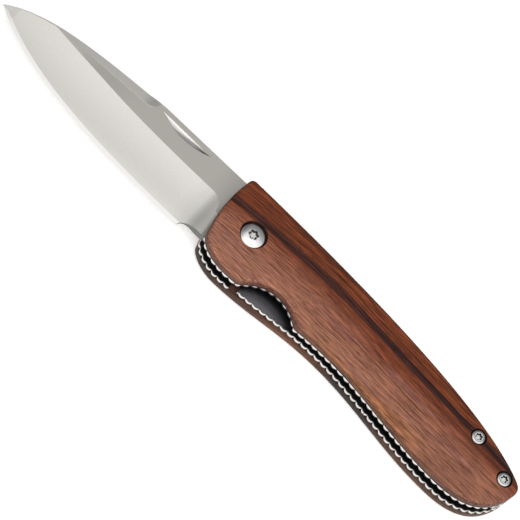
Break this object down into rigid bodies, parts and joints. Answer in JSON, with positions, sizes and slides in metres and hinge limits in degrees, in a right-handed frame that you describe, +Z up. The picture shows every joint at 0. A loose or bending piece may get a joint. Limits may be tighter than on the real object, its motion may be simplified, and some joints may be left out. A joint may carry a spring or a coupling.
{
  "type": "folding pocket knife",
  "caption": "Folding pocket knife with a liner lock, wooden scales, filed steel liners, a thumb cut-out and a ground blade with a nail nick.",
  "frame": {"origin": "middle of the open knife, on the face it lies on", "axes": "+X from the blade's tip to the butt, +Y to the spine, +Z up from the lock side to the side with the nail nick"},
  "size_m": [0.1758, 0.0262, 0.0105],
  "materials": {
    "rosewood": "oiled, semi-matte",
    "blade_steel": "satin ground",
    "polished_steel": "polished",
    "bar_steel": "satin",
    "bronze": "plain"
  },
  "bodies": {
    "handle": {"mark_scale": "rosewood", "lock_scale": "rosewood", "mark_liner": "polished_steel", "lock_liner": "polished_steel", "back_spacer": "polished_steel", "pivot_barrel": "polished_steel", "lock_washer": "bronze", "mark_washer": "bronze", "stop_pin": "polished_steel", "spine_bush": "polished_steel", "butt_bush": "polished_steel", "mark_pivot_screw": "polished_steel", "mark_spine_screw": "polished_steel", "mark_butt_screw": "polished_steel", "lock_pivot_screw": "polished_steel", "lock_spine_screw": "polished_steel", "lock_butt_screw": "polished_steel"},
    "blade": {"blade": "blade_steel"},
    "lock_bar": {"lock_bar": "bar_steel", "detent_ball": "polished_steel"}
  },
  "joints": [
    {"name": "blade_pivot", "type": "hinge", "parent": "handle", "child": "blade", "pos_m": [-0.00325, 0.00115, 0.00525], "axis": [0, 0, 1], "range_deg": [0, 177]},
    {"name": "lock_bar_flex", "type": "hinge", "parent": "handle", "child": "lock_bar", "pos_m": [0.04675, 0.00115, 0.0033], "axis": [0, -1, 0], "range_deg": [0, 1.66], "deforming": ["lock_bar", "detent_ball"]}
  ],
  "couplings": [
    {"joint": "lock_bar_flex", "follows": "blade_pivot", "ratio": 0.009375}
  ]
}
